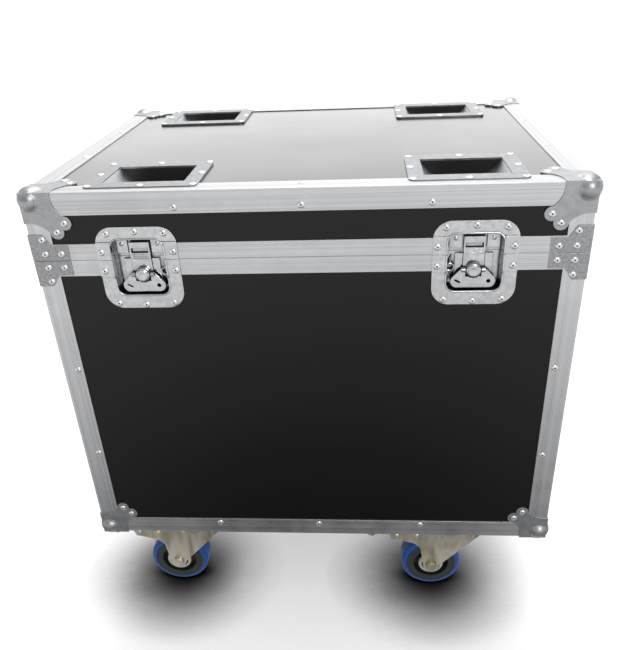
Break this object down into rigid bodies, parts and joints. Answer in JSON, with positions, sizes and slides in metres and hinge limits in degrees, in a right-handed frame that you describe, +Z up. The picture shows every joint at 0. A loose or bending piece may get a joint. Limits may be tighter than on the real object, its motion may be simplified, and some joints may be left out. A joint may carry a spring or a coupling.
{
  "type": "flight case",
  "caption": "Black panelled lighting flight case on swivel castors, with a hinged lid, butterfly latches, side handles and wheel dishes for stacking",
  "frame": {"origin": "on the floor, under the middle of the case's footprint", "axes": "+Z up, front with the latches towards -Y, +X to the right seen from the front"},
  "size_m": [0.7339, 0.5477, 0.7369],
  "materials": {
    "laminated_plywood": "black film-faced plywood, satin",
    "extruded_aluminium": "mill-drawn, fine lines along the length",
    "zinc_plated_steel": "bright zinc plate, satin",
    "dull_zinc_steel": "dull zinc plate",
    "latch_steel": "bright zinc plate, satin",
    "rivet_steel": "bright",
    "yellow_zinc_steel": "yellowish zinc plate",
    "blue_tyre": "smooth elastic rubber",
    "grey_hub": "moulded nylon",
    "chrome_rod": "bright plated rod",
    "black_grip": "moulded, matt"
  },
  "bodies": {
    "base": {"base_bottom_panel": "laminated_plywood", "base_front_panel": "laminated_plywood", "base_back_panel": "laminated_plywood", "base_left_panel": "laminated_plywood", "base_right_panel": "laminated_plywood", "base_closure_rails": "extruded_aluminium", "base_angles": "extruded_aluminium", "base_ball_corners": "zinc_plated_steel", "base_corner_braces": "dull_zinc_steel", "base_rivets": "rivet_steel", "castor_bolts": "rivet_steel", "castor_plates": "yellow_zinc_steel", "latch_dish_left": "latch_steel", "latch_dish_right": "latch_steel", "handle_dish_left": "zinc_plated_steel", "handle_dish_right": "zinc_plated_steel", "hinge_base_leaves": "zinc_plated_steel", "hinge_pins": "rivet_steel"},
    "lid": {"lid_top_panel": "laminated_plywood", "lid_front_panel": "laminated_plywood", "lid_back_panel": "laminated_plywood", "lid_left_panel": "laminated_plywood", "lid_right_panel": "laminated_plywood", "lid_angles": "extruded_aluminium", "lid_closure_rails": "extruded_aluminium", "lid_ball_corners": "zinc_plated_steel", "lid_corner_braces": "dull_zinc_steel", "lid_rivets": "rivet_steel", "castor_dishes": "zinc_plated_steel", "latch_keeper_left": "latch_steel", "latch_keeper_right": "latch_steel", "hinge_lid_leaves": "zinc_plated_steel"},
    "fork_front_left": {"castor_fork_front_left": "yellow_zinc_steel", "castor_axle_front_left": "yellow_zinc_steel"},
    "wheel_front_left": {"castor_tyre_front_left": "blue_tyre", "castor_hub_front_left": "grey_hub"},
    "pedal_front_left": {"brake_pedal_front_left": "yellow_zinc_steel"},
    "fork_front_right": {"castor_fork_front_right": "yellow_zinc_steel", "castor_axle_front_right": "yellow_zinc_steel"},
    "wheel_front_right": {"castor_tyre_front_right": "blue_tyre", "castor_hub_front_right": "grey_hub"},
    "pedal_front_right": {"brake_pedal_front_right": "yellow_zinc_steel"},
    "fork_rear_left": {"castor_fork_rear_left": "yellow_zinc_steel", "castor_axle_rear_left": "yellow_zinc_steel"},
    "wheel_rear_left": {"castor_tyre_rear_left": "blue_tyre", "castor_hub_rear_left": "grey_hub"},
    "fork_rear_right": {"castor_fork_rear_right": "yellow_zinc_steel", "castor_axle_rear_right": "yellow_zinc_steel"},
    "wheel_rear_right": {"castor_tyre_rear_right": "blue_tyre", "castor_hub_rear_right": "grey_hub"},
    "stud_left": {"latch_stud_left": "latch_steel"},
    "wing_left": {"latch_wing_left": "latch_steel"},
    "hook_left": {"latch_hook_left": "latch_steel"},
    "bail_left": {"handle_bail_left": "chrome_rod", "handle_grip_left": "black_grip"},
    "stud_right": {"latch_stud_right": "latch_steel"},
    "wing_right": {"latch_wing_right": "latch_steel"},
    "hook_right": {"latch_hook_right": "latch_steel"},
    "bail_right": {"handle_bail_right": "chrome_rod", "handle_grip_right": "black_grip"}
  },
  "joints": [
    {"name": "lid_hinge", "type": "hinge", "parent": "base", "child": "lid", "pos_m": [0, 0.2708, 0.638], "axis": [-1, 0, 0], "range_deg": [0, 95]},
    {"name": "swivel_front_left", "type": "hinge", "parent": "base", "child": "fork_front_left", "pos_m": [-0.221, -0.2135, 0.1426], "axis": [0, 0, 1], "continuous": true},
    {"name": "roll_front_left", "type": "hinge", "parent": "fork_front_left", "child": "wheel_front_left", "pos_m": [-0.256, -0.2135, 0.05], "axis": [0, 1, 0], "continuous": true},
    {"name": "brake_front_left", "type": "hinge", "parent": "fork_front_left", "child": "pedal_front_left", "pos_m": [-0.282, -0.2135, 0.12], "axis": [0, -1, 0], "range_deg": [0, 10]},
    {"name": "swivel_front_right", "type": "hinge", "parent": "base", "child": "fork_front_right", "pos_m": [0.221, -0.2135, 0.1426], "axis": [0, 0, 1], "continuous": true},
    {"name": "roll_front_right", "type": "hinge", "parent": "fork_front_right", "child": "wheel_front_right", "pos_m": [0.186, -0.2135, 0.05], "axis": [0, 1, 0], "continuous": true},
    {"name": "brake_front_right", "type": "hinge", "parent": "fork_front_right", "child": "pedal_front_right", "pos_m": [0.16, -0.2135, 0.12], "axis": [0, -1, 0], "range_deg": [0, 10]},
    {"name": "swivel_rear_left", "type": "hinge", "parent": "base", "child": "fork_rear_left", "pos_m": [-0.221, 0.2135, 0.1426], "axis": [0, 0, 1], "continuous": true},
    {"name": "roll_rear_left", "type": "hinge", "parent": "fork_rear_left", "child": "wheel_rear_left", "pos_m": [-0.256, 0.2135, 0.05], "axis": [0, 1, 0], "continuous": true},
    {"name": "swivel_rear_right", "type": "hinge", "parent": "base", "child": "fork_rear_right", "pos_m": [0.221, 0.2135, 0.1426], "axis": [0, 0, 1], "continuous": true},
    {"name": "roll_rear_right", "type": "hinge", "parent": "fork_rear_right", "child": "wheel_rear_right", "pos_m": [0.186, 0.2135, 0.05], "axis": [0, 1, 0], "continuous": true},
    {"name": "latch_turn_left", "type": "hinge", "parent": "base", "child": "stud_left", "pos_m": [-0.2187, -0.265, 0.614], "axis": [0, -1, 0], "range_deg": [0, 180]},
    {"name": "wing_fold_left", "type": "hinge", "parent": "stud_left", "child": "wing_left", "pos_m": [-0.2187, -0.25875, 0.614], "axis": [-1, 0, 0], "range_deg": [0, 90]},
    {"name": "hook_lift_left", "type": "slide", "parent": "base", "child": "hook_left", "axis": [0, 0, 1], "range_m": [0, 0.0041]},
    {"name": "handle_lift_left", "type": "hinge", "parent": "base", "child": "bail_left", "pos_m": [-0.3495, 0, 0.478], "axis": [0, 1, 0], "range_deg": [0, 90], "stiffness_Nm_per_rad": 0.25, "springref_deg": -17.19},
    {"name": "latch_turn_right", "type": "hinge", "parent": "base", "child": "stud_right", "pos_m": [0.2187, -0.265, 0.614], "axis": [0, -1, 0], "range_deg": [0, 180]},
    {"name": "wing_fold_right", "type": "hinge", "parent": "stud_right", "child": "wing_right", "pos_m": [0.2187, -0.25875, 0.614], "axis": [-1, 0, 0], "range_deg": [0, 90]},
    {"name": "hook_lift_right", "type": "slide", "parent": "base", "child": "hook_right", "axis": [0, 0, 1], "range_m": [0, 0.0041]},
    {"name": "handle_lift_right", "type": "hinge", "parent": "base", "child": "bail_right", "pos_m": [0.3495, 0, 0.478], "axis": [0, -1, 0], "range_deg": [0, 90], "stiffness_Nm_per_rad": 0.25, "springref_deg": -17.19}
  ],
  "couplings": [
    {"joint": "hook_lift_left", "follows": "latch_turn_left", "m_per_rad": 0.0012732},
    {"joint": "hook_lift_right", "follows": "latch_turn_right", "m_per_rad": 0.0012732}
  ]
}
